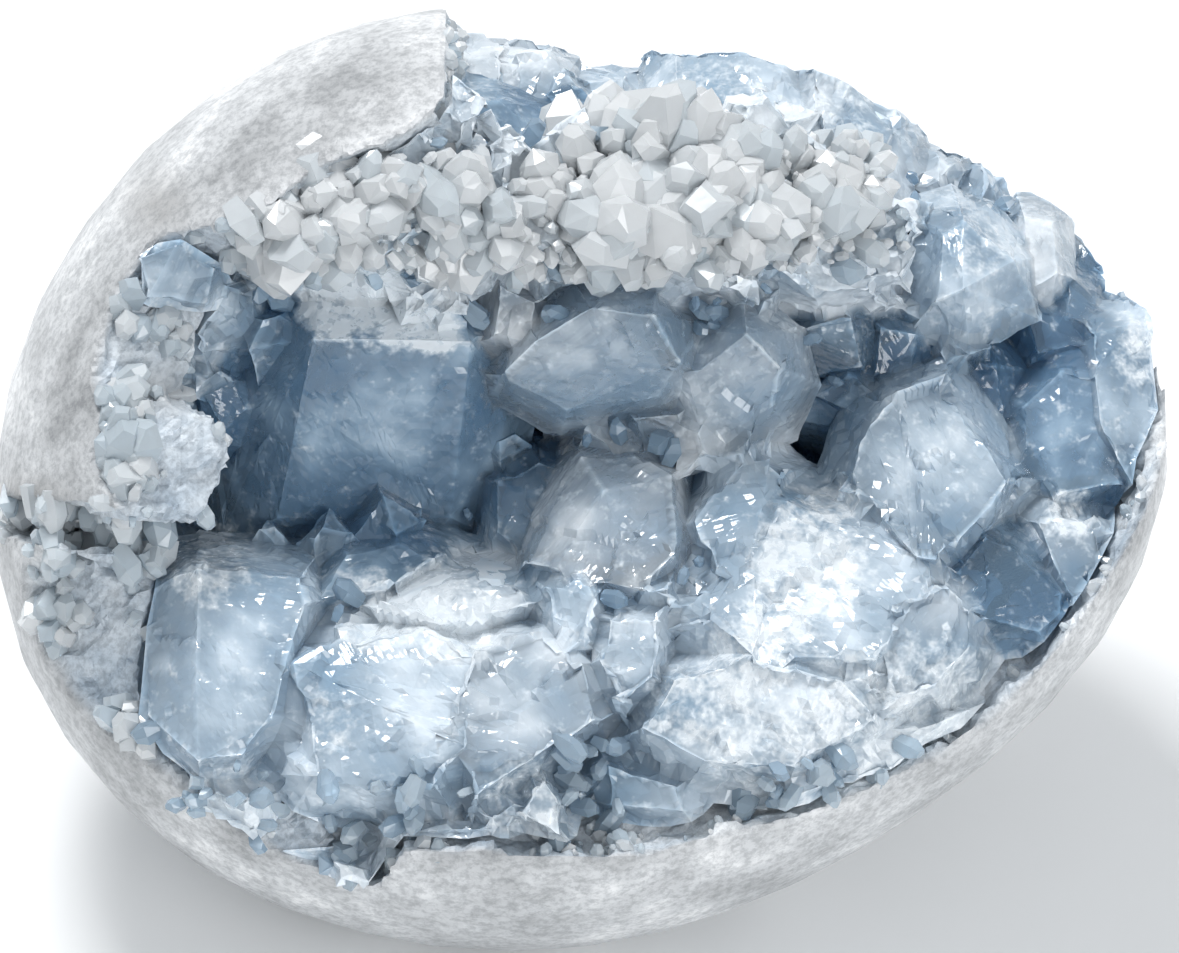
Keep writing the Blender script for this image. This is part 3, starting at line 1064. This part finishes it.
def set_camera():
    """Camera square to the open face, at the photo's scale."""
    out = Vector((0.0, -math.cos(FACE_TILT), math.sin(FACE_TILT)))
    up = Vector((0.0, math.sin(FACE_TILT), math.cos(FACE_TILT)))
    across = (PHOTO_WIDTH / 2.0 - FACE_CENTRE_PIXEL[0]) / PIXELS_PER_MM * MM
    over = (FACE_CENTRE_PIXEL[1] - PHOTO_HEIGHT / 2.0) / PIXELS_PER_MM * MM
    lens = bpy.data.cameras.new("photo_camera")
    lens.sensor_width = 36.0
    lens.lens = lens.sensor_width * CAMERA_DISTANCE / (PHOTO_WIDTH / PIXELS_PER_MM * MM)
    lens.clip_end = 20.0
    camera = bpy.data.objects.new("photo_camera", lens)
    bpy.context.scene.collection.objects.link(camera)
    camera.location = FACE.translation + Vector((across, 0.0, 0.0)) + up * over + out * CAMERA_DISTANCE
    camera.rotation_euler = (math.pi / 2.0 - FACE_TILT, 0.0, 0.0)
    bpy.context.scene.camera = camera


def soft_light(name, place, width, power):
    """Square soft box at a place in metres, aimed at the crystals."""
    lamp = bpy.data.lights.new(name, "AREA")
    lamp.shape = "SQUARE"
    lamp.size = width
    lamp.energy = power
    made = bpy.data.objects.new(name, lamp)
    made.location = place
    made.rotation_euler = (LIGHT_AIM - Vector(place)).to_track_quat("-Z", "Y").to_euler()
    bpy.context.scene.collection.objects.link(made)


def set_studio():
    """Pale floor, even sky and two soft boxes."""
    build = bmesh.new()
    bmesh.ops.create_grid(build, x_segments=1, y_segments=1, size=FLOOR_HALF_WIDTH)
    floor = object_from("studio_floor", build)
    coat, tree = new_material("pale_paper_sweep")
    grain = node(tree, "ShaderNodeTexNoise", inputs={"Scale": 60.0})
    shade = node(tree, "ShaderNodeValToRGB", inputs={"Fac": grain.outputs["Fac"]},
                 steps=((0.0, "F4F5F6"), (1.0, "FAFBFB")))
    shader = node(tree, "ShaderNodeBsdfPrincipled", inputs={"Base Color": shade.outputs[0], "Roughness": 0.9})
    node(tree, "ShaderNodeOutputMaterial", inputs={"Surface": shader.outputs[0]})
    floor.data.materials.append(coat)
    world = bpy.data.worlds.new("studio")
    world.use_nodes = True
    sky = world.node_tree.nodes["Background"].inputs
    sky["Color"].default_value = linear("F3F7FB")
    sky["Strength"].default_value = SKY_STRENGTH
    bpy.context.scene.world = world
    for box in SOFT_BOXES:
        soft_light(*box)
    bpy.context.scene.view_settings.view_transform = "Standard"


def main():
    set_camera()
    set_studio()
    wall = solid_tree("geode_shell")
    crust = solid_tree("celestite_crystals")

    rind = fitted_shell()
    faces = crystal_skin(wall)
    cores = crystal_cores(crust)
    shapes = druse_shapes(DRUSE_KINDS)
    druse_coat = celestite_druse()
    guide = druse_guide()
    druse = grown(guide, "celestite_druse", shapes, *RIDGE_GROWTH, druse_coat)
    edge = rim_guide(rind, crust)
    grains = grown(edge, "rim_grains", shapes, *RIM_GROWTH, druse_coat)
    for spare in (guide, edge, *shapes.objects):
        bpy.data.objects.remove(spare, do_unlink=True)
    bpy.data.collections.remove(shapes)

    put_on(rind, matrix_rock(), "geode_shell")
    put_on(faces, celestite_grown(), "celestite_crystals")
    put_on(cores, celestite_core(), "celestite_crystals")
    put_on(druse, None, None)
    put_on(grains, None, None)
    for made in (rind, faces, cores, druse, grains):
        print(made.name, len(made.data.polygons), "faces")


main()
